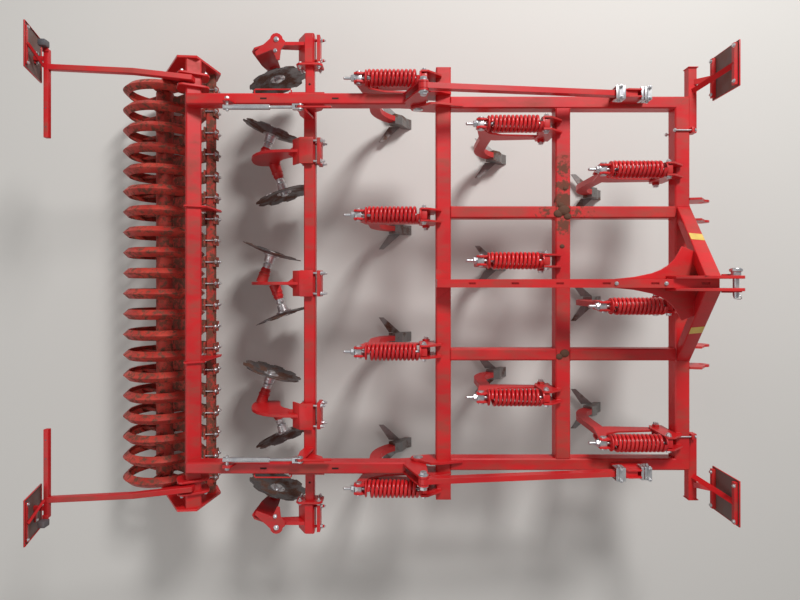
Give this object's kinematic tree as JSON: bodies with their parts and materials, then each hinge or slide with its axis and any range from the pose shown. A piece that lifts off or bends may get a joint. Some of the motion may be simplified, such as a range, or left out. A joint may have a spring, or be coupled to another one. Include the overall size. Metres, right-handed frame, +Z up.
{
  "type": "mounted tine cultivator with ring roller",
  "caption": "Mounted tine cultivator: a tube frame with spring-protected tines, levelling discs and a ring roller on a hinged rear frame.",
  "frame": {"origin": "on the ground, under the middle of the machine's overall length and width", "axes": "+X forward along the machine's length, towards the hitch; +Y the machine's left; +Z up"},
  "size_m": [4.54, 3.53, 1.61],
  "materials": {
    "red_paint": "gloss paint, dusty",
    "worn_red": "worn by soil",
    "zinc": "bright zinc",
    "disc_steel": "bare steel, soiled",
    "point_steel": "polished by soil",
    "panel_paint": "plain back of a panel"
  },
  "bodies": {
    "main_frame": {"cross_beams": "red_paint", "long_beams": "red_paint", "backstay": "red_paint", "mast": "red_paint", "hitch_plates": "red_paint", "frame_pins": "zinc", "depth_brackets": "red_paint", "depth_stops": "red_paint", "stop_clips": "zinc", "tine_brackets": "red_paint", "tine_arms": "red_paint", "tine_shanks": "red_paint", "tine_points": "point_steel", "springs": "red_paint", "spring_rods": "zinc", "front_panel_arms": "red_paint", "front_panels": "panel_paint"},
    "roller_frame": {"roller_arms": "red_paint", "roller_beam": "red_paint", "end_plates": "red_paint", "scraper_bar": "red_paint", "scrapers": "worn_red", "lamp_arms": "red_paint", "rear_panels": "panel_paint", "disc_hangers": "red_paint", "arm_pins": "zinc", "spindle_tubes": "zinc"},
    "ring_roller": {"roller": "worn_red"},
    "disc_frame": {"disc_bar": "red_paint", "disc_arms": "red_paint", "lever_pins": "zinc"},
    "left_depth_link": {"depth_link_left": "red_paint"},
    "right_depth_link": {"depth_link_right": "red_paint"},
    "left_spindle_rod": {"spindle_rod_left": "zinc"},
    "right_spindle_rod": {"spindle_rod_right": "zinc"},
    "left_outer_slide": {"outer_slide_left": "red_paint"},
    "right_outer_slide": {"outer_slide_right": "red_paint"},
    "left_outer_disc": {"outer_disc_left": "disc_steel"},
    "right_outer_disc": {"outer_disc_right": "disc_steel"},
    "inner_disc_1": {"disc_1": "disc_steel"},
    "inner_disc_2": {"disc_2": "disc_steel"},
    "inner_disc_3": {"disc_3": "disc_steel"},
    "inner_disc_4": {"disc_4": "disc_steel"},
    "inner_disc_5": {"disc_5": "disc_steel"},
    "inner_disc_6": {"disc_6": "disc_steel"}
  },
  "joints": [
    {"name": "roller_depth", "type": "hinge", "parent": "main_frame", "child": "roller_frame", "pos_m": [0.24, 0, 0.9], "axis": [0, 1, 0], "range_deg": [-2, 8]},
    {"name": "roller_spin", "type": "hinge", "parent": "roller_frame", "child": "ring_roller", "pos_m": [-1.75, 0, 0.3], "axis": [0, 1, 0], "continuous": true},
    {"name": "left_link_slide", "type": "slide", "parent": "main_frame", "child": "left_depth_link", "axis": [0.994, 0, -0.1097], "range_m": [-0.0125, 0.046]},
    {"name": "right_link_slide", "type": "slide", "parent": "main_frame", "child": "right_depth_link", "axis": [0.994, 0, -0.1097], "range_m": [-0.0125, 0.046]},
    {"name": "disc_depth", "type": "hinge", "parent": "roller_frame", "child": "disc_frame", "pos_m": [-0.54, 0, 0.838], "axis": [0, 1, 0], "range_deg": [-10, 10]},
    {"name": "left_spindle_slide", "type": "slide", "parent": "roller_frame", "child": "left_spindle_rod", "axis": [1, 0, 0], "range_m": [-0.036, 0.036]},
    {"name": "right_spindle_slide", "type": "slide", "parent": "roller_frame", "child": "right_spindle_rod", "axis": [1, 0, 0], "range_m": [-0.036, 0.036]},
    {"name": "left_outer_reach", "type": "slide", "parent": "disc_frame", "child": "left_outer_slide", "axis": [0, 1, 0], "range_m": [-0.24, 0]},
    {"name": "right_outer_reach", "type": "slide", "parent": "disc_frame", "child": "right_outer_slide", "axis": [0, -1, 0], "range_m": [-0.24, 0]},
    {"name": "disc_1_spin", "type": "hinge", "parent": "disc_frame", "child": "inner_disc_1", "pos_m": [-0.88186, 1.15692, 0.4], "axis": [-0.3256, -0.9455, 0], "continuous": true},
    {"name": "disc_2_spin", "type": "hinge", "parent": "disc_frame", "child": "inner_disc_2", "pos_m": [-0.78186, 0.70308, 0.4], "axis": [-0.3256, 0.9455, 0], "continuous": true},
    {"name": "disc_3_spin", "type": "hinge", "parent": "disc_frame", "child": "inner_disc_3", "pos_m": [-0.88186, 0.22692, 0.4], "axis": [-0.3256, -0.9455, 0], "continuous": true},
    {"name": "disc_4_spin", "type": "hinge", "parent": "disc_frame", "child": "inner_disc_4", "pos_m": [-0.78186, -0.22692, 0.4], "axis": [-0.3256, 0.9455, 0], "continuous": true},
    {"name": "disc_5_spin", "type": "hinge", "parent": "disc_frame", "child": "inner_disc_5", "pos_m": [-0.88186, -0.70308, 0.4], "axis": [-0.3256, -0.9455, 0], "continuous": true},
    {"name": "disc_6_spin", "type": "hinge", "parent": "disc_frame", "child": "inner_disc_6", "pos_m": [-0.78186, -1.15692, 0.4], "axis": [-0.3256, 0.9455, 0], "continuous": true},
    {"name": "left_outer_disc_spin", "type": "hinge", "parent": "left_outer_slide", "child": "left_outer_disc", "pos_m": [-0.832, 1.588, 0.4], "axis": [-0.3256, 0.9455, 0], "continuous": true},
    {"name": "right_outer_disc_spin", "type": "hinge", "parent": "right_outer_slide", "child": "right_outer_disc", "pos_m": [-0.832, -1.588, 0.4], "axis": [-0.3256, -0.9455, 0], "continuous": true}
  ],
  "couplings": [
    {"joint": "left_link_slide", "follows": "roller_depth", "m_per_rad": 0.3008},
    {"joint": "right_link_slide", "follows": "roller_depth", "m_per_rad": 0.3008},
    {"joint": "left_spindle_slide", "follows": "disc_depth", "m_per_rad": 0.192},
    {"joint": "right_spindle_slide", "follows": "disc_depth", "m_per_rad": 0.192}
  ]
}
